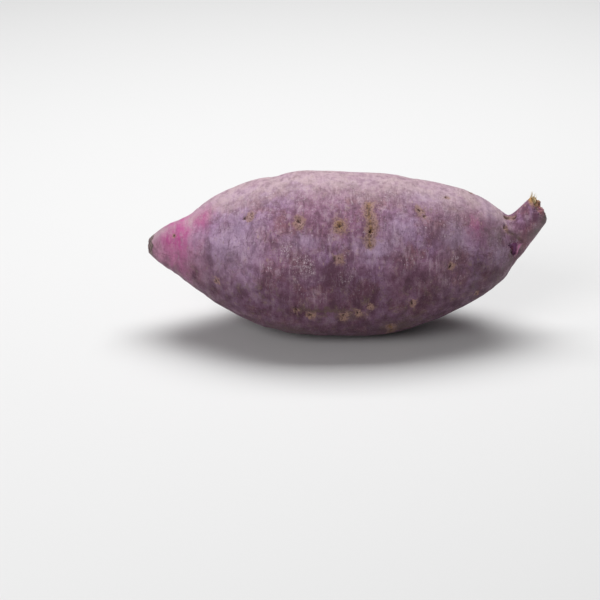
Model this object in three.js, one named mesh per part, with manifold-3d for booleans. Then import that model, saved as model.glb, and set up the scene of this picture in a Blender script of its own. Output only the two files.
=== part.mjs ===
// Purple sweet potato: one whole storage root, lying on its side as it would on a table.
// Millimetres, +Z up. +X runs from the broken tail root to the crown, where the stalk left the root.
// The origin is under the middle of the root's box, on the surface that it rests on.
//
// The root grew as one piece, so it is one solid: a swollen body, the short stump of its stalk, and
// a small flat under the belly, where the skin settles against the surface.
import * as THREE from "three";
import { mergeVertices } from "three/addons/utils/BufferGeometryUtils.js";
import Module from "manifold-3d";

// Driving dimensions.
const BODY_LENGTH = 160; // broken tail end to crown, along the root's axis
const BELLY_RADIUS = 35.8; // at the thickest place
const DEPTH_SHARE = 0.97; // front-to-back thickness over height
const REST_CUT = 1.0; // how far the belly is flattened where it lies
const STALK_REACH = 22.6; // length of the stalk's stump, from inside the crown to its broken end
const STALK_RADIUS = 5.9; // at the broken end
const STALK_RISE = THREE.MathUtils.degToRad(52); // the stump leans up from the root's axis
const STALK_FOOT = [0.956, 0.4, 2.6]; // share of the body's length, drift back, rise above the belly's axis
const SKIN_COLOUR = 0x8f6f86; // dusty mauve

const BODY_RINGS = 62;
const BODY_SIDES = 48;
const STALK_RINGS = 12;
const STALK_SIDES = 24;
const WELD_DISTANCE = 1e-4;
const SURFACE_THICKNESS = 10;

// Half outline of the straightened body, as shares of its length and of its largest radius.
const BODY_OUTLINE = [
  [0.0, 0.088],
  [0.03, 0.215],
  [0.07, 0.32],
  [0.11, 0.432],
  [0.15, 0.554],
  [0.197, 0.688],
  [0.25, 0.804],
  [0.31, 0.912],
  [0.385, 0.982],
  [0.46, 1.0],
  [0.56, 0.994],
  [0.66, 0.962],
  [0.75, 0.866],
  [0.83, 0.74],
  [0.895, 0.596],
  [0.945, 0.44],
  [0.982, 0.25],
  [0.998, 0.06],
];

// The axis sags between its raised ends: [share of length, rise above the belly's axis, drift back].
const AXIS_PATH = [
  [0.0, 2.8, 1.0],
  [0.15, 1.8, 0.5],
  [0.3, 0.5, -0.1],
  [0.45, 0.0, -0.4],
  [0.6, -0.5, -0.2],
  [0.75, 0.0, 0.3],
  [0.9, 2.2, 0.6],
  [1.0, 3.6, 0.3],
];

// Slow lobes: [lobes round the root, height as a share of the radius, turn, twist along the length].
const LOBES = [
  [2, 0.01, -0.5, 0],
  [3, 0.009, 0.9, 2.4],
  [5, 0.005, -0.7, 4.1],
];

// Dents: [share of length, angle round the root, depth, half length as a share, half width round].
const DENTS = [
  [0.337, 1.57, 1.1, 0.026, 0.9], // a furrow across the top, just before the thickest place
  [0.115, 1.7, 1.5, 0.04, 1.1], // the hollow where the tail thins
];

// Half outline of the stalk's stump: [share of its reach, share of its end radius].
const STALK_OUTLINE = [
  [0.0, 1.45],
  [0.25, 1.38],
  [0.5, 1.26],
  [0.7, 1.16],
  [0.88, 1.07],
  [1.0, 0.95],
];

// A lathe's profile, from the axis, along a smooth curve through the outline, and back to the axis.
function latheProfile(outline, lengthScale, radiusScale, rings) {
  const knots = outline.map(([along, out]) => new THREE.Vector2(out * radiusScale, along * lengthScale));
  const skin = new THREE.SplineCurve(knots).getSpacedPoints(rings);
  return [new THREE.Vector2(0, skin[0].y), ...skin, new THREE.Vector2(0, skin[rings].y)];
}

// How much the lobes swell the radius at one place.
function lobing(angle, share) {
  return LOBES.reduce(
    (total, [count, height, turn, twist]) => total + height * Math.cos(count * angle + turn + twist * share),
    1,
  );
}

// How far the dents sink the skin at one place.
function dentDepth(angle, share) {
  return DENTS.reduce((total, [alongAt, roundAt, depth, halfLength, halfWidth]) => {
    const along = (share - alongAt) / halfLength;
    const round = (angle - roundAt) / halfWidth;
    return total + depth * Math.exp(-along * along - round * round);
  }, 0);
}

// Moves a vertex of the straight body, whose axis is X, to where the root grew.
// Angle 0 is the front, -Y, and a quarter turn is the top, +Z.
function growBody(geometry) {
  const axis = new THREE.CatmullRomCurve3(
    AXIS_PATH.map(([share, rise, drift]) => new THREE.Vector3(share, drift, rise)),
  );
  const place = geometry.getAttribute("position");
  const vertex = new THREE.Vector3();
  for (let i = 0; i < place.count; i++) {
    vertex.fromBufferAttribute(place, i);
    const share = THREE.MathUtils.clamp(vertex.x / BODY_LENGTH, 0, 1);
    const angle = Math.atan2(vertex.z, -vertex.y);
    const straight = Math.hypot(vertex.y, vertex.z);
    const dent = dentDepth(angle, share) * Math.min(1, (2 * straight) / BELLY_RADIUS);
    const radius = straight * lobing(angle, share) - dent;
    const centre = axis.getPoint(share);
    place.setXYZ(
      i,
      vertex.x,
      centre.y - radius * Math.cos(angle) * DEPTH_SHARE,
      centre.z + BELLY_RADIUS - REST_CUT + radius * Math.sin(angle),
    );
  }
  return geometry;
}

function bodyGeometry() {
  const profile = latheProfile(BODY_OUTLINE, BODY_LENGTH, BELLY_RADIUS, BODY_RINGS);
  const straight = new THREE.LatheGeometry(profile, BODY_SIDES).rotateZ(-Math.PI / 2);
  return growBody(mergedByPlace(straight));
}

// The stump stands on the crown: its foot is inside the body, near the axis.
function stalkGeometry() {
  const profile = latheProfile(STALK_OUTLINE, STALK_REACH, STALK_RADIUS, STALK_RINGS);
  const [alongAt, drift, rise] = STALK_FOOT;
  return mergedByPlace(new THREE.LatheGeometry(profile, STALK_SIDES))
    .rotateX(Math.PI / 2)
    .rotateY(Math.PI / 2 - STALK_RISE)
    .translate(alongAt * BODY_LENGTH, drift, BELLY_RADIUS - REST_CUT + rise);
}

// One copy of each vertex, told apart by place alone.
function mergedByPlace(geometry) {
  geometry.deleteAttribute("normal");
  geometry.deleteAttribute("uv");
  return mergeVertices(geometry, WELD_DISTANCE);
}

function solidOf(wasm, geometry) {
  return new wasm.Manifold(
    new wasm.Mesh({
      numProp: 3,
      vertProperties: new Float32Array(geometry.getAttribute("position").array),
      triVerts: new Uint32Array(geometry.index.array),
    }),
  );
}

function geometryOf(solid) {
  const mesh = solid.getMesh();
  const geometry = new THREE.BufferGeometry();
  geometry.setAttribute("position", new THREE.BufferAttribute(mesh.vertProperties, 3));
  geometry.setIndex(new THREE.BufferAttribute(mesh.triVerts, 1));
  return geometry;
}

// Puts the origin under the middle of the box.
function centredOnItsBox(geometry) {
  geometry.computeBoundingBox();
  const middle = geometry.boundingBox.getCenter(new THREE.Vector3());
  return geometry.translate(-middle.x, -middle.y, -geometry.boundingBox.min.z);
}

const wasm = await Module();
wasm.setup();

// The surface that the root lies on, as a block whose top is Z 0.
const surface = new THREE.BoxGeometry(2 * BODY_LENGTH, BODY_LENGTH, SURFACE_THICKNESS).translate(
  BODY_LENGTH / 2,
  0,
  -SURFACE_THICKNESS / 2,
);
const root = solidOf(wasm, bodyGeometry())
  .add(solidOf(wasm, stalkGeometry()))
  .subtract(solidOf(wasm, mergedByPlace(surface)));

const skin = new THREE.MeshStandardMaterial({ color: SKIN_COLOUR, roughness: 0.7, metalness: 0 });
const storageRoot = new THREE.Mesh(centredOnItsBox(geometryOf(root)), skin);
storageRoot.name = "storage_root";

const sweetPotato = new THREE.Group();
sweetPotato.add(storageRoot);

export default sweetPotato;
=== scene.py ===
import math
import random

import bmesh
import bpy
import numpy as np
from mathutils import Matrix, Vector, noise


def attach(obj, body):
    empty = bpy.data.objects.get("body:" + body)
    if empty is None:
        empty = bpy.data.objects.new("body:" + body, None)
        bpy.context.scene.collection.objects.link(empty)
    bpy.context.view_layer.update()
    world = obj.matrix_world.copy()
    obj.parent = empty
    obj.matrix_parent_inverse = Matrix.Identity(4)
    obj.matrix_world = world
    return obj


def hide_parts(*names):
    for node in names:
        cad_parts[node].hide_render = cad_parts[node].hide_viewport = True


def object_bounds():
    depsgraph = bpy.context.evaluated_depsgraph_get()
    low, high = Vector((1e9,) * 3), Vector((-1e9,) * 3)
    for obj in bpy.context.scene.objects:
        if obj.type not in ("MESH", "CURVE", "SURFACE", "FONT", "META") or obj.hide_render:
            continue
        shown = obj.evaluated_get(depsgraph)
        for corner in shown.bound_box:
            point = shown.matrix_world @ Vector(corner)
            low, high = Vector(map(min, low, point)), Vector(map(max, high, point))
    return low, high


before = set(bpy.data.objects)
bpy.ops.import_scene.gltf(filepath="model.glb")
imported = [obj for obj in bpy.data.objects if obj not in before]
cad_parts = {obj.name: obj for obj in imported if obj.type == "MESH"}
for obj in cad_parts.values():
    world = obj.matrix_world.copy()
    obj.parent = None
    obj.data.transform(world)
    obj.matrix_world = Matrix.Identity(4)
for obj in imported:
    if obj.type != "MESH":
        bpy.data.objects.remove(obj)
cad_low, cad_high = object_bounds()
scene = bpy.context.scene

# ---------------------------------------------------------------------------------------------
# The root itself, in its skin: one living piece, from the broken tail to the torn stump of the
# stalk. Its thin purple periderm wrinkled across as the root swelled, flaked into pale scurf,
# and is pocked where the side roots were pulled off. All lengths here are in millimetres.
MM = 0.001
CELL = 0.72  # side of the mesh's cells
CORE_HEIGHT = 35.0  # height of the line that angles are measured round
TAIL_X = cad_low.x / MM
WELD_DISTANCE = 1e-6  # metres


def closed_copy(node, name):
    """A new piece with the closed shape of a CAD node."""
    piece = bpy.data.objects.new(name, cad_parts[node].data.copy())
    scene.collection.objects.link(piece)
    shape = bmesh.new()
    shape.from_mesh(piece.data)
    bmesh.ops.remove_doubles(shape, verts=shape.verts, dist=WELD_DISTANCE)
    shape.to_mesh(piece.data)
    shape.free()
    piece.data.materials.clear()
    return piece


def give_even_cells(piece, side):
    """Quads of one size all over, in place of the piece's own facets."""
    cells = piece.modifiers.new("cells", "REMESH")
    cells.mode = "VOXEL"
    cells.voxel_size = side * MM
    evaluated = piece.evaluated_get(bpy.context.evaluated_depsgraph_get())
    even = bpy.data.meshes.new_from_object(evaluated)
    piece.modifiers.clear()
    piece.data = even


def halve_cells(piece, chosen):
    """Cells of half the size where all corners of an edge are chosen."""
    shape = bmesh.new()
    shape.from_mesh(piece.data)
    edges = [e for e in shape.edges if chosen[e.verts[0].index] and chosen[e.verts[1].index]]
    bmesh.ops.subdivide_edges(shape, edges=edges, cuts=1, use_grid_fill=True)
    shape.to_mesh(piece.data)
    shape.free()


def read(mesh, what="co"):
    """Every vertex's place in millimetres, or its normal, as rows of an array."""
    found = np.empty(len(mesh.vertices) * 3, np.float32)
    mesh.vertices.foreach_get(what, found)
    return found.reshape(-1, 3).astype(float) / (MM if what == "co" else 1)


def write(mesh, at):
    mesh.vertices.foreach_set("co", (at * MM).astype(np.float32).ravel())
    mesh.update()


def relaxed(mesh, at, rounds, give):
    """Points drawn to the middle of their neighbours, as far as each one's give allows."""
    ends = np.empty(len(mesh.edges) * 2, np.int32)
    mesh.edges.foreach_get("vertices", ends)
    a, b = ends.reshape(-1, 2).T
    size = len(at)
    neighbours = np.bincount(a, minlength=size) + np.bincount(b, minlength=size)
    for _ in range(rounds):
        sums = [np.bincount(a, at[b, i], size) + np.bincount(b, at[a, i], size) for i in range(3)]
        at = at + 0.5 * give[:, None] * (np.stack(sums, 1) / neighbours[:, None] - at)
    return at


def rising(low, high, x):
    """0 below low, 1 above high, and a smooth rise between them."""
    t = np.clip((x - low) / (high - low), 0, 1)
    return t * t * (3 - 2 * t)


def bell(x, width):
    return np.exp(-((x / width) ** 2))


def grain(at, sizes, seed, octaves=1):
    """Noise from -1 to 1 whose grains have this size along X, Y and Z."""
    points = (at / np.array(sizes) + 17.3 * seed).tolist()
    if octaves == 1:
        return np.array([noise.noise(p) for p in points])
    return np.array([noise.fractal(p, 1.0, 2.1, octaves) for p in points])


def station_and_angle(at):
    """Distance from the tail's end, and degrees round the core: 0 in front, 90 on top."""
    return at[:, 0] - TAIL_X, np.degrees(np.arctan2(at[:, 2] - CORE_HEIGHT, -at[:, 1]))


PATCH_THICKNESS = 12.0  # skin further than this from the patch's own level isn't part of it
OFF_PATCH = 99.0  # the distance that such skin is given
LEAST_FACING = 0.1  # cosine between the skin's way out and the patch's


def patch(at, normal, where):
    """Distances over the skin from a station and angle: up round the root, and to the crown."""
    station, angle = station_and_angle(at)
    turn = np.radians((angle - where[1] + 180) % 360 - 180)
    reach = np.hypot(at[:, 1], at[:, 2] - CORE_HEIGHT)
    nearest = np.argmin((station - where[0]) ** 2 + (turn * reach) ** 2)
    out = normal[nearest]
    round_way = np.cross((-1.0, 0.0, 0.0), out)
    round_way /= np.linalg.norm(round_way)
    crown_way = np.cross(round_way, out)
    crown_way *= np.sign(crown_way[0])
    offset = at - at[nearest]
    far = (normal @ out < LEAST_FACING) | (np.abs(offset @ out) > PATCH_THICKNESS)
    return np.where(far, OFF_PATCH, offset @ round_way), np.where(far, OFF_PATCH, offset @ crown_way)


# The stump: where its foot is inside the crown, and the way it points.
STUMP_FOOT = np.array([TAIL_X + 153.0, 0.4, 37.4])
STUMP_RISE = math.radians(52)
STUMP_WAY = np.array([math.cos(STUMP_RISE), 0, math.sin(STUMP_RISE)])
STUMP_REACH = 22.6  # from its foot to its broken end
STUMP_SIDE = 9.0  # nothing of its upper half is further than this from its axis
REAR_TOP = np.array([-0.68, 0.5, 0.53])  # across the stump, to where its fibres stand


def on_stump(at):
    """Distance up the stump from its foot, and distance from its axis."""
    up = (at - STUMP_FOOT) @ STUMP_WAY
    return up, np.linalg.norm(at - STUMP_FOOT - up[:, None] * STUMP_WAY, axis=1)


# Where side roots were pulled off: station, angle, half length round the root, half width along
# it, depth, reach of the corky halo, how far it lies towards the crown, and how ochre it is.
SIDE_ROOTS = [
    (64.7, 43.5, 1.2, 0.6, 0.8, 2.8, 0.3, 0.3),
    (81.4, 40.2, 1.1, 0.7, 0.5, 3.4, 0.0, 0.75),
    (42.5, 50.9, 0.9, 0.8, 0.5, 2.2, 2.2, 0.1),
    (94.3, 37.0, 0.9, 0.7, 0.9, 1.5, 0.0, 0.6),
    (115.3, 54.7, 0.7, 0.6, 0.3, 2.2, 0.0, 0.4),
    (117.2, 50.0, 0.5, 0.5, 0.4, 0.9, 0.0, 0.1),
    (126.8, 74.5, 0.6, 0.6, 0.5, 1.1, 0.4, 0.0),
    (79.7, 17.2, 1.1, 0.5, 0.6, 2.0, 1.9, 0.1),
    (69.1, -26.0, 1.3, 0.9, 0.5, 2.1, 0.4, 0.6),
    (63.7, -22.1, 2.4, 0.6, 0.8, 1.2, 0.0, 0.0),
    (83.6, -27.3, 1.2, 0.9, 0.7, 2.3, 0.0, 0.4),
    (89.1, -24.2, 1.0, 0.8, 0.6, 2.0, 0.6, 0.4),
    (93.5, -18.5, 0.7, 0.6, 0.5, 1.6, 1.0, 0.1),
    (11.6, 56.7, 0.8, 0.5, 0.35, 1.2, 0.3, 0.0),
    (30.0, -10.0, 0.9, 0.5, 0.5, 1.5, 0.6, 0.1),
    (112.0, -20.0, 1.2, 0.6, 0.6, 1.8, 0.5, 0.2),
    (128.0, 8.0, 0.9, 0.5, 0.5, 1.6, 0.9, 0.1),
    (140.0, -38.0, 0.9, 0.6, 0.5, 1.4, 0.0, 0.2),
    (37.0, 128.0, 1.1, 0.6, 0.6, 2.2, 0.8, 0.3),
    (61.0, 141.0, 1.3, 0.7, 0.8, 2.5, 0.3, 0.6),
    (86.0, 133.0, 0.8, 0.6, 0.5, 1.8, 1.4, 0.1),
    (109.0, 138.0, 1.5, 0.8, 0.7, 2.8, 0.0, 0.8),
    (133.0, 129.0, 0.7, 0.6, 0.5, 1.6, 0.6, 0.2),
    (48.0, 196.0, 1.4, 0.7, 0.7, 2.3, 0.5, 0.2),
    (74.0, 203.0, 0.9, 0.7, 0.6, 2.2, 0.9, 0.7),
    (101.0, 192.0, 1.3, 0.6, 0.8, 2.5, 0.3, 0.4),
    (124.0, 199.0, 1.0, 0.6, 0.5, 1.9, 0.8, 0.1),
    (55.0, 251.0, 1.2, 0.7, 0.6, 2.4, 0.2, 0.5),
    (97.0, 262.0, 0.9, 0.7, 0.5, 2.0, 0.7, 0.3),
    (118.0, 247.0, 1.3, 0.7, 0.7, 2.3, 0.4, 0.2),
]
# Pits in the fold at the stump's foot, in the same terms.
FOLD_PITS = [
    (151.9, 61.0, 1.3, 0.7, 1.1, 1.6, 0.6, 0.1),
    (153.6, 86.0, 1.0, 1.0, 0.9, 1.9, 0.8, 0.5),
    (156.3, 84.0, 1.0, 0.8, 0.9, 1.5, -0.6, 0.4),
    (154.0, 150.0, 1.2, 0.8, 0.9, 1.8, 0.0, 0.3),
]
# Cracks across the skin: station, first and last angle, half width, depth, reach of the halo.
CRACKS = [
    (94.3, 22.0, 62.0, 0.45, 0.4, 2.7),
    (52.0, 150.0, 184.0, 0.5, 0.4, 1.9),
    (121.0, 206.0, 232.0, 0.45, 0.35, 1.6),
    (104.0, -62.0, -38.0, 0.45, 0.35, 1.8),
    (138.0, 96.0, 118.0, 0.4, 0.3, 1.2),
    (31.0, 200.0, 240.0, 0.45, 0.25, 1.4),
]
# Where the stalk was levered back and tore the skin at the stump's foot.
TEAR = (156.0, 30.0)

SMOOTHINGS = 34
END_HOLD = 0.95  # how firmly the broken ends keep their edges while the rest is smoothed
TEAR_REACH = 5.0  # from the middle of the tear to the end of its finer cells

skin = closed_copy("storage_root", "skin")
give_even_cells(skin, CELL)
at = read(skin.data)
up, off = on_stump(at)
broken = rising(STUMP_REACH - 3.5, STUMP_REACH - 1.0, up) * (off < STUMP_SIDE)
broken = np.maximum(broken, 1 - rising(2.0, 5.0, at[:, 0] - TAIL_X))
at = relaxed(skin.data, at, SMOOTHINGS, 1 - END_HOLD * broken)
write(skin.data, at)
normal = read(skin.data, "normal")

small = (up > STUMP_REACH - 3) & (off < STUMP_SIDE) | (at[:, 0] - TAIL_X < 3.5)
for scar_station, scar_angle, half_long, *_ in SIDE_ROOTS + FOLD_PITS:
    across, along = patch(at, normal, (scar_station, scar_angle))
    small |= np.hypot(across, along) < 1.3 * half_long + 1.0
across, along = patch(at, normal, TEAR)
small |= np.hypot(across, along) < TEAR_REACH
halve_cells(skin, small)

at = read(skin.data)
normal = read(skin.data, "normal")
station, angle = station_and_angle(at)
up, off = on_stump(at)
stump = rising(8.0, 13.0, up) * (off < 10)
body = 1 - stump

# Slow swellings, wrinkles across, ribs that run into the stump, and a fine leathery grain. These
# are their heights.
SWELLING, RIPPLE = 0.55, 0.16
WIDE_WRINKLE, NARROW_WRINKLE, FINE_WRINKLE = 0.24, 0.21, 0.07
CROWN_RIB, STUMP_RIB, LEATHER = 0.21, 0.2, 0.05

lift = SWELLING * grain(at, (21, 15, 15), 1) + RIPPLE * grain(at, (8, 7, 7), 24)
wrinkled = 0.35 + 0.65 * rising(-0.1, 0.4, grain(at, (24, 18, 18), 2))
near_ends = np.maximum(bell(station - 14, 16), 1.2 * bell(station - 152, 12))
wrinkled = body * np.maximum(wrinkled, near_ends)
warped = at + 1.6 * np.stack([grain(at, (8, 8, 8), seed) for seed in (21, 22, 23)], 1)
bands = WIDE_WRINKLE * grain(warped, (6.5, 26, 26), 3)
bands += NARROW_WRINKLE * grain(warped, (2.7, 9, 9), 4, 2)
creases = wrinkled * (bands + FINE_WRINKLE * grain(warped, (1.6, 5, 5), 5))
creases += CROWN_RIB * body * bell(station - 143, 20) * grain(at, (30, 3.0, 3.0), 6)
creases += LEATHER * grain(at, (2.0, 1.7, 1.7), 7, 2)
drawn_out = at - 0.85 * up[:, None] * STUMP_WAY
creases += STUMP_RIB * stump * grain(drawn_out, (2.2, 2.2, 2.2), 8)
lift += creases

# Everything that broke the skin wanders off its line by these. A scar has a low lip and lies in a
# wide hollow, and so does a crack.
SCAR_LIP, SCAR_HOLLOW = 0.2, 0.4
CRACK_LIP, CRACK_HOLLOW = 0.15, 0.25
wander_up = grain(at, (2.1, 2.1, 2.1), 9, 2)
wander_on = grain(at, (2.1, 2.1, 2.1), 10, 2)
pit_tissue_and_shade = np.zeros(len(at))
halo = np.zeros(len(at))
ochre = np.zeros(len(at))
for *where, half_long, half_wide, depth, reach, onward, yellow in SIDE_ROOTS + FOLD_PITS:
    across, along = patch(at, normal, where)
    across = across + 0.9 * wander_up
    along = along + 0.7 * wander_on
    r = np.hypot(across / half_long, along / half_wide)
    hole = np.exp(-(r**2))
    lip = SCAR_LIP * bell(r - 1.9, 0.6) * (0.6 + 0.8 * wander_up)
    hollow = SCAR_HOLLOW * np.exp(-((across / 6.0) ** 2) - (along / 3.4) ** 2)
    lift += lip - depth * hole - hollow
    pit_tissue_and_shade = np.maximum(pit_tissue_and_shade, rising(0.3, 0.85, hole))
    cork = np.exp(-np.hypot(across / 1.15, along - onward) ** 2 / reach**2)
    halo = np.maximum(halo, cork)
    ochre = np.maximum(ochre, yellow * cork)
for place, start, stop, half_wide, depth, reach in CRACKS:
    turn = (angle - (start + stop) / 2 + 180) % 360 - 180
    inside = body * (1 - rising(0.75, 1.0, np.abs(turn) / ((stop - start) / 2)))
    along = station - place + 0.9 * wander_on + 0.8 * grain(at * (0, 1, 1), (5, 5, 5), 11)
    broken_line = rising(-0.35, 0.1, wander_up)
    cut = inside * bell(along, half_wide) * broken_line
    lip = CRACK_LIP * bell(np.abs(along) - 2.4 * half_wide, 0.5)
    lift += inside * (lip - CRACK_HOLLOW * bell(along, 2.5)) - depth * cut
    pit_tissue_and_shade = np.maximum(pit_tissue_and_shade, 0.5 * cut)
    halo = np.maximum(halo, inside * bell(along, reach))
    ochre = np.maximum(ochre, 0.75 * inside * bell(along, 0.45 * reach))

# The tear: a ragged wedge, open at the top, with raw pink edges on its crown side and below.
TEAR_FOOT = -3.2
TEAR_DEPTH = 0.9
RAW_EDGE_HEIGHT = 0.4

across, along = patch(at, normal, TEAR)
frayed = grain(at, (1.0, 1.0, 1.0), 17, 2)
across = across + 0.8 * wander_up + 0.5 * frayed
along = along + 0.5 * wander_on + 0.6 * frayed + 0.25 * across
mouth = 0.5 + 0.46 * np.clip(across - TEAR_FOOT, 0, 5.5)  # half the width of its opening
wedge = np.abs(along) / mouth
ends = rising(-3.9, -3.0, across) * (1 - rising(1.6, 3.2, across))
torn = ends * (1 - rising(0.7, 1.1, wedge))
slit = ends * bell(along + 0.85 * mouth, 0.6)
edge = bell(wedge - 1.3, 0.36) * rising(-0.6, 0.4, along)
edge *= rising(-4.9, -4.0, across) * (1 - rising(1.6, 3.4, across))
lift += RAW_EDGE_HEIGHT * edge - TEAR_DEPTH * (torn + slit)
pit_tissue_and_shade = np.maximum(pit_tissue_and_shade, rising(0.3, 0.7, slit))

# The fold round the stump's foot: how far up the stump it runs, how deep it is, how far from the
# stump's axis it ends, and the slanting line on whose crown side it fades.
FOLD_UP, FOLD_DEPTH, FOLD_REACH = 8.6, 0.55, 12
FOLD_STATION, FOLD_SLANT = 144, 0.3

tailward = rising(-12, 2, FOLD_STATION + FOLD_SLANT * at[:, 2] - station)
fold = bell(up - FOLD_UP - 0.8 * wander_up, 1.0) * (off < FOLD_REACH) * tailward
lift -= FOLD_DEPTH * fold
at = at + normal * lift[:, None]

# The stump's end, torn off across its fibres: shrunken and round in front, ragged behind, where
# the rim stands up round a sunken, stringy face.
RIM_RISE, RIM_WEAR, RIM_SHRINKAGE = 1.5, 0.8, 1.25
RAGGEDNESS, STRINGINESS, HEART_SINK = 0.45, 0.35, 0.5

up, off = on_stump(at)
outward = (at - STUMP_FOOT - up[:, None] * STUMP_WAY) / np.maximum(off, 0.1)[:, None]
face = rising(STUMP_REACH - 1.5, STUMP_REACH - 0.6, up) * (off < STUMP_SIDE)
ragged = grain(at, (1.9, 1.9, 1.9), 12, 3)
strings = grain(at, (0.7, 0.7, 0.7), 13, 2)
rear = rising(-1.5, 4.5, (at - STUMP_FOOT) @ REAR_TOP)
front = 1 - rear
bare = face * np.maximum(rear, 1 - rising(3.7, 4.7, off + ragged))
rise = (RAGGEDNESS + 0.55 * rear) * ragged + STRINGINESS * strings
rise -= (HEART_SINK + 1.3 * rear) * bell(off, 3.4)
rise += RIM_RISE * rear * bell(off - 5.2, 1.2) - RIM_WEAR * front * rising(3.0, 5.6, off)
shrunk = RIM_SHRINKAGE * front * rising(1.5, 5.5, off) * (off < STUMP_SIDE)
shrunk *= rising(STUMP_REACH - 3.4, STUMP_REACH, up)
at = at + (face * rise)[:, None] * STUMP_WAY - shrunk[:, None] * outward

# The tail's end, snapped off and dried: a small rough face, sunken in its middle.
TAIL_Y, TAIL_Z = 1.0, 37.6
TAIL_ROUGHNESS, TAIL_SINK = 0.5, 0.45

station, angle = station_and_angle(at)
snapped = 1 - rising(1.6, 3.6, station + 0.9 * wander_up)
tail_off = np.hypot(at[:, 1] - TAIL_Y, at[:, 2] - TAIL_Z)
dent = TAIL_ROUGHNESS * grain(at, (1.3, 1.3, 1.3), 14, 3) + TAIL_SINK * bell(tail_off, 2.0)
at[:, 0] += (1 - rising(0.3, 1.6, station)) * dent
at[:, 2] = np.maximum(at[:, 2], 0)
write(skin.data, at)
skin.data.polygons.foreach_set("use_smooth", np.ones(len(skin.data.polygons), bool))


def patches(wobble, rows):
    """The strongest of several soft-edged patches, at each place.

    A row is a station, an angle, the half widths round the root and along it, and a strength.
    """
    strongest = np.zeros(len(at))
    for *where, high, wide, strength in rows:
        across, along = patch(at, normal, where)
        spot = np.hypot((across + wobble * wander_up) / high, (along + wobble * wander_on) / wide)
        strongest = np.maximum(strongest, strength * np.exp(-(spot**2)))
    return strongest


# What each place on the skin is, and where light and shade are painted on it, for its colour: all from
# 0 to 1.
# Painted highlight, with dust: paler along the top.
dust_and_top_highlight = rising(48, 88, angle) * (1 - rising(118, 156, angle))
# Painted shade, with soil: darker low on the root.
underside_shade_and_soil = 1 - rising(25, 48, at[:, 2] + 8 * grain(at, (17, 12, 12), 15, 2))
tail_band = 1.15 * bell(station - 13.5 - 3.5 * grain(at, (9, 5, 5), 16), 6.0)
upper_front = rising(15, 50, angle) * (1 - rising(115, 165, angle))
abraded = body * np.maximum(
    tail_band * (0.6 + 0.4 * upper_front),
    patches(1.5, [
        (23.5, 69.0, 6.0, 6.0, 0.9),
        (138.4, 49.5, 6.0, 4.5, 0.5),
        (26.0, 150.0, 6.0, 7.0, 0.6),
    ]),
)
bloomed = patches(4.0, [
    # The first, widest patch is partly a painted highlight on the upper front near the tail.
    (38.0, 31.0, 13.0, 12.0, 1.0),
    (21.0, 34.0, 6.0, 5.0, 0.6),
    (66.0, 29.0, 4.0, 8.0, 0.7),
    (97.0, 25.0, 5.0, 9.0, 0.9),
    (108.0, 40.0, 5.0, 10.0, 0.7),
    (132.0, 36.0, 6.0, 9.0, 0.6),
    (79.0, -31.0, 3.0, 7.0, 0.7),
    (118.0, 72.0, 5.0, 8.0, 0.5),
    (146.0, 78.0, 7.0, 5.0, 0.5),
    (149.0, 20.0, 6.0, 5.0, 0.6),
    (45.0, 170.0, 10.0, 10.0, 0.9),
    (95.0, 150.0, 7.0, 12.0, 0.6),
    (132.0, 205.0, 9.0, 8.0, 0.7),
    (75.0, 262.0, 7.0, 12.0, 0.5),
])
bruised = patches(4.0, [
    (65.0, -9.0, 4.5, 9.0, 0.9),
    (77.0, 5.0, 3.5, 10.0, 0.8),
    (92.0, -3.0, 5.0, 7.0, 0.6),
    (80.0, 4.0, 7.0, 24.0, 1.0),
    (107.0, 61.0, 4.5, 6.0, 0.6),
    (76.0, 45.0, 3.5, 2.5, 0.8),
    (60.0, 46.0, 3.0, 2.0, 0.5),
    (40.0, 54.0, 3.0, 2.0, 0.7),
    (122.0, 35.0, 5.0, 6.0, 0.5),
    (64.0, 195.0, 6.0, 9.0, 0.7),
    (98.0, 215.0, 5.0, 12.0, 0.8),
    (118.0, 150.0, 5.0, 7.0, 0.5),
])
scurfy = patches(3.0, [
    (66.5, 12.0, 7.0, 6.0, 1.0),
    (59.0, 24.0, 5.0, 4.0, 0.8),
    (55.0, 53.0, 3.5, 3.5, 0.7),
    (65.0, 60.0, 4.0, 2.5, 0.8),
    (83.5, 1.5, 3.0, 3.0, 1.0),
    (78.0, 60.0, 6.0, 3.0, 0.5),
    (102.0, 66.0, 3.0, 4.0, 0.8),
    (112.0, 28.0, 9.0, 9.0, 0.35),
    (36.0, 48.0, 7.0, 5.0, 0.5),
    (90.0, 120.0, 9.0, 12.0, 0.7),
    (58.0, 165.0, 10.0, 9.0, 0.9),
    (110.0, 185.0, 8.0, 9.0, 0.8),
    (80.0, 235.0, 9.0, 11.0, 0.6),
    (125.0, -15.0, 7.0, 8.0, 0.6),
])
soiled = patches(2.0, [
    (75.0, -20.5, 1.8, 19.0, 0.85),
    (86.0, -27.0, 3.5, 6.0, 0.9),
    (69.0, -27.0, 3.0, 2.5, 0.6),
    (93.0, -14.0, 3.0, 2.5, 0.6),
    (62.0, -50.0, 9.0, 12.0, 0.7),
    (108.0, -45.0, 9.0, 14.0, 0.7),
    (87.0, 72.0, 5.0, 2.5, 0.5),
    (122.0, 58.0, 2.5, 5.0, 0.3),
    (149.0, 52.0, 7.0, 3.0, 0.55),
    (154.0, 88.0, 3.0, 3.0, 0.8),
    (155.0, 12.0, 5.0, 2.5, 0.7),
    (70.0, 215.0, 8.0, 8.0, 0.7),
    (115.0, 250.0, 8.0, 12.0, 0.7),
    (140.0, 160.0, 9.0, 8.0, 0.5),
])
soiled = np.maximum(soiled, 0.7 * fold)
above_axis = (at - STUMP_FOOT) @ np.array([-STUMP_WAY[2], 0, STUMP_WAY[0]])
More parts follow.
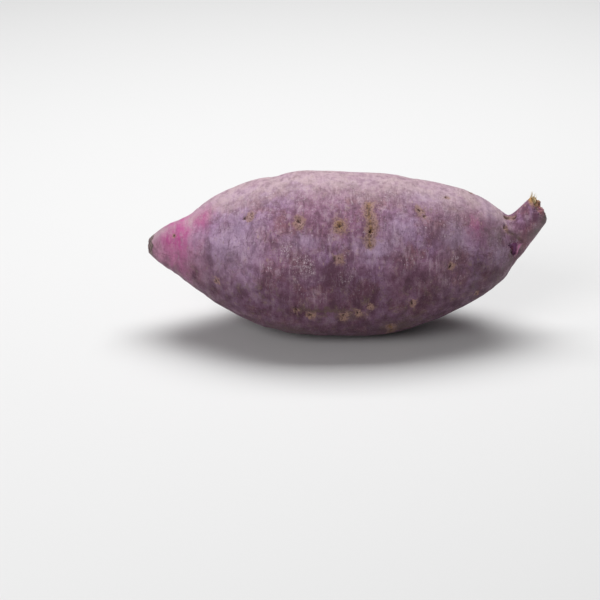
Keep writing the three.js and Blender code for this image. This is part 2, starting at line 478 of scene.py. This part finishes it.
layers = {
    "groove_shade": rising(0.02, 0.22, -creases),
    "pit_tissue_and_shade": pit_tissue_and_shade,
    "halo": halo,
    "ochre": ochre,
    "raw": edge,
    "torn": torn,
    "dust_and_top_highlight": dust_and_top_highlight * body,
    "underside_shade_and_soil": underside_shade_and_soil,
    "abraded": abraded,
    "tail": 1 - rising(12, 30, station),
    "crown": bell(station - 142, 18) * body,
    "scurfy": scurfy,
    "bloomed": body * bloomed,
    "bruised": body * bruised,
    "soiled": soiled,
    "stump": stump,
    "stump_shadow_side": stump * (1 - rising(-4.5, 0.5, above_axis)),
    "face": bare,
    "heart": face * (1 - rising(1.4, 2.8, off + 0.8 * ragged)),
    "rear_face": face * rear,
    "snapped": snapped,
}
for name, values in layers.items():
    data = skin.data.attributes.new(name, "FLOAT", "POINT").data
    data.foreach_set("value", np.clip(values, 0, 1).astype(np.float32))


def tint(code):
    """A shader colour from a paint chip's six-digit code."""
    parts = [int(code[i : i + 2], 16) / 255 for i in (0, 2, 4)]
    return [((c + 0.055) / 1.055) ** 2.4 if c > 0.04045 else c / 12.92 for c in parts] + [1.0]


# The Mix node's sockets for colours, which share their names with its others.
MIX_SHARE, MIX_UNDER, MIX_TOP, MIXED_COLOUR = 0, 6, 7, 2


class Paint:
    """Node helpers for one material."""

    def __init__(self, name):
        self.material = bpy.data.materials.new(name)
        self.material.use_nodes = True
        self.tree = self.material.node_tree
        self.shader = self.tree.nodes["Principled BSDF"]
        self.place = self.tree.nodes.new("ShaderNodeTexCoord").outputs["Object"]

    def feed(self, socket, value):
        if isinstance(value, bpy.types.NodeSocket):
            self.tree.links.new(value, socket)
        else:
            socket.default_value = value

    def math(self, how, a, b):
        node = self.tree.nodes.new("ShaderNodeMath")
        node.operation = how
        self.feed(node.inputs[0], a)
        self.feed(node.inputs[1], b)
        return node.outputs["Value"]

    def add(self, a, b):
        return self.math("ADD", a, b)

    def times(self, a, b):
        return self.math("MULTIPLY", a, b)

    def layer(self, name):
        node = self.tree.nodes.new("ShaderNodeAttribute")
        node.attribute_name = name
        return node.outputs["Fac"]

    def vector(self, how, *inputs):
        node = self.tree.nodes.new("ShaderNodeVectorMath")
        node.operation = how
        for socket, value in zip(node.inputs, inputs):
            self.feed(socket, value)
        return node.outputs["Vector"]

    def scaled(self, sizes, place=None):
        """Places in units of one grain."""
        return self.vector("MULTIPLY", place or self.place, [1 / (size * MM) for size in sizes])

    def bent(self, size, way):
        """Places moved out of line by slow noise, so that streaks wander."""
        node = self.tree.nodes.new("ShaderNodeTexNoise")
        node.inputs["Scale"].default_value = 1.0
        self.feed(node.inputs["Vector"], self.scaled((size, size, size)))
        return self.vector("MULTIPLY_ADD", node.outputs["Color"], [way * MM] * 3, self.place)

    def noise(self, sizes, detail=2.0, rough=0.5, place=None):
        """Noise about 0.5 with grains of these sizes."""
        node = self.tree.nodes.new("ShaderNodeTexNoise")
        self.feed(node.inputs["Vector"], self.scaled(sizes, place))
        node.inputs["Scale"].default_value = 1.0
        node.inputs["Detail"].default_value = detail
        node.inputs["Roughness"].default_value = rough
        return node.outputs["Fac"]

    def hairline(self, sizes, place, width):
        """Thin wandering lines."""
        from_middle = self.math("ABSOLUTE", self.add(self.noise(sizes, 3, 0.55, place), -0.5), 0.0)
        return self.ramp(from_middle, width, 0.0)

    def cells(self, sizes, feature, way):
        """Cells of these sizes, their edges moved out of line by this much."""
        node = self.tree.nodes.new("ShaderNodeTexVoronoi")
        node.feature = feature
        self.feed(node.inputs["Vector"], self.scaled(sizes, self.bent(sizes[0], way)))
        node.inputs["Scale"].default_value = 1.0
        return node.outputs

    def ramp(self, value, low, high, start=0.0, stop=1.0):
        """start where the value is low or less, stop where it is high or more."""
        node = self.tree.nodes.new("ShaderNodeMapRange")
        node.interpolation_type = "SMOOTHSTEP"
        self.feed(node.inputs["Value"], value)
        node.inputs["From Min"].default_value = low
        node.inputs["From Max"].default_value = high
        node.inputs["To Min"].default_value = start
        node.inputs["To Max"].default_value = stop
        return node.outputs["Result"]

    def on(self, layer, value, low, high, start=0.0, stop=1.0):
        """The ramp of a value, only where this layer is."""
        return self.times(self.layer(layer), self.ramp(value, low, high, start, stop))

    def fringed(self, layer, value, fringe, low, high, start=0.0, stop=1.0):
        """The ramp of a layer whose edge is broken up by so much of a value."""
        broken_up = self.add(self.layer(layer), self.times(value, fringe))
        return self.ramp(broken_up, low, high, start, stop)

    def over(self, under, top, share):
        """The colour under, with the colour on top laid over it by share."""
        node = self.tree.nodes.new("ShaderNodeMix")
        node.data_type = "RGBA"
        self.feed(node.inputs[MIX_SHARE], share)
        self.feed(node.inputs[MIX_UNDER], under)
        self.feed(node.inputs[MIX_TOP], top)
        return node.outputs[MIXED_COLOUR]


PLUM = tint("673e54")
MAUVE = tint("9b6c8a")
LILAC = tint("a57fa6")
ROSE_BROWN = tint("91606b")
ASH = tint("ceb0bf")
DUST_AND_HIGHLIGHT = tint("c1abae")
PINK = tint("cb8aa6")
MAGENTA = tint("b6458a")
CLAY = tint("a98577")
OCHRE = tint("9b7440")
SCAR_DARK_AND_SHADE = tint("30171a")
SOIL = tint("5a463f")
BARK = tint("563b33")
WINE = tint("6a2145")
OLIVE = tint("766e69")
BLOOM = tint("c3a2bf")
BRUISE = tint("583046")
DARK_BLOTCH = tint("643f50")
PALE_BLOTCH = tint("bfa3b6")
DARK_SPECK = tint("5d3c4c")
PALE_SPECK = tint("cbb3c0")
BLUE_BLOOM = tint("bba0c2")
THIN_SKIN = tint("d8aec4")
CRACK_LINE = tint("57384a")
LENTICEL = tint("b79a92")
SCURF = tint("dcc2cf")
UNDERSIDE_SHADE = tint("482538")
TORN_SKIN = tint("7d4874")
RAW_EDGE = tint("c980a8")
STALK_FLESH = tint("a1666f")
STALK_WOOD = tint("ab8149")
STUB_DARK = tint("4a3a38")
STUB_PALE = tint("8b7a74")
SHEEN = tint("e8c8d8")

paint = Paint("periderm")
bent = paint.bent(7.0, 2.6)
broad = paint.noise((30, 22, 22), 2)
patchy = paint.noise((9, 10, 10), 5, 0.62)
blotch = paint.noise((4.6, 6.0, 6.0), 5, 0.6, bent)
mottle = paint.noise((2.6, 3.6, 3.6), 7, 0.66)
fleck = paint.noise((0.8, 0.9, 0.9), 5, 0.68)
dots = paint.noise((0.32, 0.38, 0.38), 3, 0.6)
rings = paint.noise((1.3, 11, 11), 6, 0.62, bent)
lines = paint.noise((13, 1.3, 1.3), 6, 0.62, bent)

# Pigment, blotched and streaked.
colour = paint.over(MAUVE, LILAC, paint.ramp(broad, 0.44, 0.66))
colour = paint.over(colour, ROSE_BROWN, paint.ramp(patchy, 0.47, 0.62, 0.0, 0.9))
colour = paint.over(colour, PINK, paint.on("tail", patchy, 0.35, 0.6, 0.45, 0.95))
colour = paint.over(colour, BLOOM, paint.on("bloomed", mottle, 0.3, 0.6, 0.55, 1.0))
colour = paint.over(colour, BRUISE, paint.on("bruised", mottle, 0.65, 0.35, 0.45, 0.95))
colour = paint.over(colour, DARK_BLOTCH, paint.ramp(blotch, 0.48, 0.34, 0.0, 0.62))
colour = paint.over(colour, PALE_BLOTCH, paint.ramp(blotch, 0.53, 0.67, 0.0, 0.5))
colour = paint.over(colour, PLUM, paint.ramp(mottle, 0.55, 0.36, 0.0, 0.58))
colour = paint.over(colour, ASH, paint.ramp(mottle, 0.52, 0.7, 0.0, 0.42))
colour = paint.over(colour, ASH, paint.ramp(rings, 0.54, 0.68, 0.0, 0.4))
colour = paint.over(colour, PLUM, paint.ramp(rings, 0.46, 0.33, 0.0, 0.5))
colour = paint.over(
    colour,
    PLUM,
    paint.times(paint.add(0.5, paint.layer("crown")), paint.ramp(lines, 0.47, 0.35, 0.0, 0.5)),
)
colour = paint.over(colour, OLIVE, paint.on("crown", broad, 0.55, 0.42, 0.1, 0.45))
# Painted shade in the grooves of the wrinkles.
colour = paint.over(colour, PLUM, paint.times(paint.layer("groove_shade"), 0.5))
specks = paint.noise((1.0, 1.3, 1.3), 3, 0.55, bent)
colour = paint.over(colour, DARK_SPECK, paint.ramp(specks, 0.4, 0.32, 0.0, 0.6))
colour = paint.over(
    colour,
    PALE_SPECK,
    paint.times(paint.ramp(specks, 0.62, 0.7), paint.ramp(patchy, 0.38, 0.6, 0.2, 0.75)),
)
colour = paint.over(colour, PLUM, paint.ramp(dots, 0.5, 0.34, 0.0, 0.35))

# The bloom lies over the mottling too, and the thin skin of the tail is paler.
colour = paint.over(colour, BLUE_BLOOM, paint.on("bloomed", patchy, 0.35, 0.6, 0.58, 0.36))
colour = paint.over(colour, THIN_SKIN, paint.on("tail", blotch, 0.35, 0.6, 0.2, 0.42))

# Hair-thin cracks in the periderm, mostly across the root.
across_crack = paint.hairline((2.6, 14, 14), bent, 0.02)
along_crack = paint.hairline((16, 3.6, 3.6), bent, 0.018)
cracked = paint.math("MAXIMUM", across_crack, paint.times(along_crack, 0.7))
cracked = paint.times(cracked, paint.ramp(patchy, 0.4, 0.6, 0.15, 0.8))
colour = paint.over(colour, CRACK_LINE, paint.times(cracked, 0.6))

# Lenticels: tiny corky dashes, each lying across the root.
spots = paint.cells((3.4, 6.0, 6.0), "F1", 0.6)
lenticel = paint.times(paint.ramp(spots["Distance"], 0.16, 0.07), paint.ramp(spots["Color"], 0.45, 0.6))
colour = paint.over(colour, LENTICEL, paint.times(lenticel, 0.55))

# Dust and a painted highlight on top, and the magenta layer that shows where the skin is rubbed thin.
colour = paint.over(colour, DUST_AND_HIGHLIGHT, paint.on("dust_and_top_highlight", paint.add(mottle, patchy), 0.8, 1.2, 0.3, 0.85))
rubbed = paint.on("abraded", paint.add(paint.times(rings, 1.5), blotch), 0.95, 1.45, 0.25, 1.0)
rubbed = paint.math("MAXIMUM", rubbed, paint.on("abraded", fleck, 0.5, 0.58))
colour = paint.over(colour, MAGENTA, paint.times(rubbed, 0.95))
# More of the painted highlight and dust on top.
colour = paint.over(colour, ASH, paint.on("dust_and_top_highlight", mottle, 0.4, 0.6, 0.12, 0.34))

# Scurf: pale crumbling flakes, with dark skin between them.
plates = paint.ramp(paint.cells((1.0, 1.3, 1.3), "DISTANCE_TO_EDGE", 2.4)["Distance"], 0.0, 0.3)
crumbs = paint.ramp(paint.noise((0.9, 1.1, 1.1), 6, 0.8), 0.36, 0.54)
flaked = paint.fringed("scurfy", mottle, 1.1, 0.85, 1.35)
scurf = paint.times(
    paint.times(flaked, paint.times(plates, crumbs)),
    paint.ramp(paint.noise((2.2, 2.6, 2.6), 6, 0.75), 0.4, 0.54),
)
colour = paint.over(colour, PLUM, paint.times(flaked, 0.4))
scurf = paint.math(
    "MAXIMUM", scurf, paint.times(paint.ramp(fleck, 0.6, 0.72), paint.ramp(patchy, 0.4, 0.6, 0.1, 0.6))
)
colour = paint.over(colour, SCURF, paint.times(scurf, 0.95))

# Painted shade: the underside is darker. Soil is mottled over it, darkening it more, and is caught in
# whatever is rough.
shade = paint.on("underside_shade_and_soil", blotch, 0.3, 0.65, 0.95, 0.55)
colour = paint.over(colour, UNDERSIDE_SHADE, shade)
colour = paint.over(colour, SOIL, paint.on("underside_shade_and_soil", mottle, 0.48, 0.66, 0.0, 0.5))
dirt = paint.fringed("soiled", paint.add(mottle, fleck), 1.2, 1.35, 2.1)
colour = paint.over(colour, SOIL, paint.times(dirt, 0.85))

# Root scars: a broken-edged halo of cork, with ochre flecks in some.
cork = paint.fringed("halo", paint.add(mottle, fleck), 1.5, 1.62, 2.2)
colour = paint.over(colour, CLAY, paint.times(cork, 0.7))
colour = paint.over(colour, OCHRE, paint.fringed("ochre", fleck, 1.6, 1.2, 1.6, 0.0, 0.65))
colour = paint.over(colour, BARK, paint.times(cork, paint.ramp(fleck, 0.52, 0.4, 0.0, 0.9)))

# The stump, the tear at its foot, and the two broken ends.
colour = paint.over(colour, PLUM, paint.on("stump", mottle, 0.35, 0.6, 0.65, 0.15))
# Painted shade: greyer olive on the stump's underside.
colour = paint.over(colour, OLIVE, paint.on("stump_shadow_side", mottle, 0.35, 0.6, 0.9, 0.5))
colour = paint.over(
    colour,
    paint.over(WINE, TORN_SKIN, paint.ramp(mottle, 0.42, 0.6)),
    paint.fringed("torn", fleck, 0.8, 0.75, 1.0),
)
colour = paint.over(colour, RAW_EDGE, paint.fringed("raw", fleck, 0.8, 0.8, 1.1, 0.0, 0.85))
# Near black in the pits, slits and crack cuts: their dried tissue, and painted shade.
colour = paint.over(colour, SCAR_DARK_AND_SHADE, paint.on("pit_tissue_and_shade", fleck, 0.35, 0.65, 0.95, 0.6))
end = paint.over(OLIVE, STALK_FLESH, paint.ramp(mottle, 0.38, 0.56))
end = paint.over(end, STALK_WOOD, paint.on("rear_face", mottle, 0.3, 0.5))
end = paint.over(end, BARK, paint.ramp(fleck, 0.48, 0.38, 0.0, 0.75))
end = paint.over(end, WINE, paint.on("heart", fleck, 0.7, 0.45, 0.4, 0.95))
colour = paint.over(colour, end, paint.layer("face"))
stub = paint.over(STUB_DARK, STUB_PALE, paint.ramp(fleck, 0.42, 0.62))
snap = paint.fringed("snapped", mottle, 0.7, 0.65, 1.0)
colour = paint.over(colour, stub, paint.times(snap, 0.9))
paint.feed(paint.shader.inputs["Base Color"], colour)

# Matt and a little downy: smoother where it is rubbed, rougher where it is scurfy.
WAXY, CHALKY = 0.54, 0.74
RUBBED_SMOOTHER, SCURF_ROUGHER = -0.08, 0.12
BUMP_HEIGHT = 0.26

matt = paint.ramp(paint.add(patchy, fleck), 0.8, 1.2, WAXY, CHALKY)
matt = paint.add(matt, paint.times(rubbed, RUBBED_SMOOTHER))
paint.feed(paint.shader.inputs["Roughness"], paint.add(matt, paint.times(scurf, SCURF_ROUGHER)))
paint.shader.inputs["IOR"].default_value = 1.42
paint.shader.inputs["Sheen Weight"].default_value = 0.18
paint.shader.inputs["Sheen Roughness"].default_value = 0.4
paint.shader.inputs["Sheen Tint"].default_value = SHEEN

relief = paint.times(fleck, 0.9)
for height, share in [
    (mottle, 0.8),
    (dots, 0.35),
    (rings, 0.7),
    (lines, 0.4),
    (scurf, 0.4),
    (lenticel, 0.3),
    (cracked, -0.5),
]:
    relief = paint.add(relief, paint.times(height, share))
bump = paint.tree.nodes.new("ShaderNodeBump")
bump.inputs["Strength"].default_value = 1.0
bump.inputs["Distance"].default_value = BUMP_HEIGHT * MM
paint.feed(bump.inputs["Height"], relief)
paint.feed(paint.shader.inputs["Normal"], bump.outputs["Normal"])
skin.data.materials.append(paint.material)

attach(skin, "root")
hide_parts("storage_root")

# ---------------------------------------------------------------------------------------------
# Torn fibres: splinters and hairs of the stalk's wood, dry and pale, left standing on the stump's
# end where it was pulled off. The longest are a tuft at its rear. Each thins away to a point.
SPLINTERS = 24
HAIRS = 95
TUFT = SPLINTERS + 30  # the first so many stand together at the rear, the others all over the end
TUFT_TURN = -60  # degrees round the stump's axis, from the rear to the tuft
SPLINTER_LENGTH, TUFT_HAIR_LENGTH, STRAY_LENGTH = (2.8, 6.0), (1.8, 3.6), (0.8, 1.9)
SPLINTER_HALF_WIDTH, HAIR_HALF_WIDTH = (0.32, 0.62), (0.05, 0.11)
TUFT_RING, STRAY_RING = (2.3, 5.1), (0.8, 4.6)  # distance from the stump's axis
ROOTED = 1.4  # how deep they start below the stump's end
UPRIGHT = Vector((-0.1, 0, 0.1))  # the tuft bends up from the stump's lean by this at each step
CORNERS = 6
STEPS = 6

dice = random.Random(11)
shape = bmesh.new()
tip_layer = shape.verts.layers.float.new("tip")
rear_way = Vector((0, 1, 0))
stalk_way = Vector(STUMP_WAY)
under_way = rear_way.cross(stalk_way)


def jitter(size):
    return Vector([dice.gauss(0, size) for _ in range(3)])


for number in range(SPLINTERS + HAIRS):
    splinter = number < SPLINTERS
    in_tuft = number < TUFT
    spread = 12 if splinter else 24
    turn = math.radians(dice.gauss(TUFT_TURN, spread) if in_tuft else dice.uniform(0, 360))
    out = rear_way * math.cos(turn) + under_way * math.sin(turn)
    ring = dice.uniform(*(TUFT_RING if in_tuft else STRAY_RING))
    lengths = SPLINTER_LENGTH if splinter else TUFT_HAIR_LENGTH if in_tuft else STRAY_LENGTH
    length = dice.uniform(*lengths)
    wide = dice.uniform(*(SPLINTER_HALF_WIDTH if splinter else HAIR_HALF_WIDTH))
    thin = wide * dice.uniform(0.35, 0.6) if splinter else wide
    place = Vector(STUMP_FOOT) + stalk_way * (STUMP_REACH - ROOTED) + out * ring
    way = stalk_way + jitter(0.05 if splinter else 0.2)
    way += out * (0.05 if splinter else dice.uniform(-0.1, 0.25))
    edge_way = stalk_way.cross(out)
    rims = []
    for step in range(STEPS):
        share = step / (STEPS - 1)
        left = 1 - 0.95 * share**1.6
        rim = []
        for corner in range(CORNERS):
            swing = math.tau * corner / CORNERS
            spoke = edge_way * (wide * math.cos(swing)) + out * (thin * math.sin(swing))
            vertex = shape.verts.new((place + spoke * left) * MM)
            vertex[tip_layer] = share
            rim.append(vertex)
        rims.append(rim)
        way = way.normalized() + jitter(0.05 if splinter else 0.16)
        if in_tuft:
            way += UPRIGHT
        place = place + way.normalized() * (length / (STEPS - 1))
    for lower, upper in zip(rims, rims[1:]):
        for i in range(CORNERS):
            j = (i + 1) % CORNERS
            shape.faces.new((lower[i], lower[j], upper[j], upper[i]))
    shape.faces.new(list(reversed(rims[0])))
    shape.faces.new(rims[-1])
bmesh.ops.recalc_face_normals(shape, faces=shape.faces)
fibre_mesh = bpy.data.meshes.new("torn_fibres")
shape.to_mesh(fibre_mesh)
shape.free()
fibre_mesh.polygons.foreach_set("use_smooth", np.ones(len(fibre_mesh.polygons), bool))
fibres = bpy.data.objects.new("torn_fibres", fibre_mesh)
scene.collection.objects.link(fibres)

FIBRE_ROOT = tint("96703f")
FIBRE_TIP = tint("f0dfba")
FIBRE_STREAK = tint("a98552")

fibre_paint = Paint("dry_fibre")
streak = fibre_paint.noise((0.4, 0.4, 1.8), 3, 0.6)
towards_tip = fibre_paint.fringed("tip", streak, 0.5, 0.35, 0.75)
colour = fibre_paint.over(FIBRE_ROOT, FIBRE_TIP, towards_tip)
colour = fibre_paint.over(colour, FIBRE_STREAK, fibre_paint.ramp(streak, 0.56, 0.68, 0.0, 0.5))
fibre_paint.feed(fibre_paint.shader.inputs["Base Color"], colour)
fibre_paint.feed(fibre_paint.shader.inputs["Roughness"], fibre_paint.ramp(streak, 0.3, 0.7, 0.6, 0.8))
fibres.data.materials.append(fibre_paint.material)
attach(fibres, "root")

# ---------------------------------------------------------------------------------------------
# Table and light: a plain pale surface, one wide soft lamp overhead and behind, and a weaker one
# in front and to the left.
ROOT_MIDDLE = Vector((0, 0, 0.03))

bpy.ops.mesh.primitive_plane_add(size=6.0)
floor = bpy.context.object
floor.name = "floor"
paper = bpy.data.materials.new("paper")
paper.use_nodes = True
paper_shader = paper.node_tree.nodes["Principled BSDF"]
paper_shader.inputs["Base Color"].default_value = (0.74, 0.74, 0.74, 1)
paper_shader.inputs["Roughness"].default_value = 0.9
floor.data.materials.append(paper)


def soft_lamp(name, place, size, power):
    """A rectangular lamp that faces the root."""
    lamp = bpy.data.lights.new(name, "AREA")
    lamp.shape = "RECTANGLE"
    lamp.size, lamp.size_y = size
    lamp.energy = power
    holder = bpy.data.objects.new(name, lamp)
    holder.location = place
    holder.rotation_euler = (ROOT_MIDDLE - Vector(place)).to_track_quat("-Z", "Y").to_euler()
    scene.collection.objects.link(holder)


soft_lamp("overhead", (0.0, 0.32, 0.95), (0.9, 0.6), 11.8)
soft_lamp("front", (-0.6, -0.8, 0.6), (0.6, 0.6), 5.2)
room = bpy.data.worlds.new("room")
room.use_nodes = True
background = room.node_tree.nodes["Background"]
background.inputs["Color"].default_value = (1, 1, 1, 1)
background.inputs["Strength"].default_value = 0.1
scene.world = room
scene.view_settings.view_transform = "Standard"

# ---------------------------------------------------------------------------------------------
# Camera: a long lens in front of the root and a little above it, aimed to the left of its middle
# and below it. These are in millimetres too.
PITCH = math.radians(23.3)
DISTANCE = 857.1
AIM_RIGHT = -20.3
AIM_UP = -20.5
LENS = 120

forward = Vector((0, math.cos(PITCH), -math.sin(PITCH)))
upward = Vector((0, math.sin(PITCH), math.cos(PITCH)))
camera = bpy.data.objects.new("camera", bpy.data.cameras.new("camera"))
camera.data.lens = LENS
camera.location = (cad_low + cad_high) / 2 + (
    Vector((AIM_RIGHT, 0, 0)) + upward * AIM_UP - forward * DISTANCE
) * MM
camera.rotation_euler = forward.to_track_quat("-Z", "Y").to_euler()
scene.collection.objects.link(camera)
scene.camera = camera
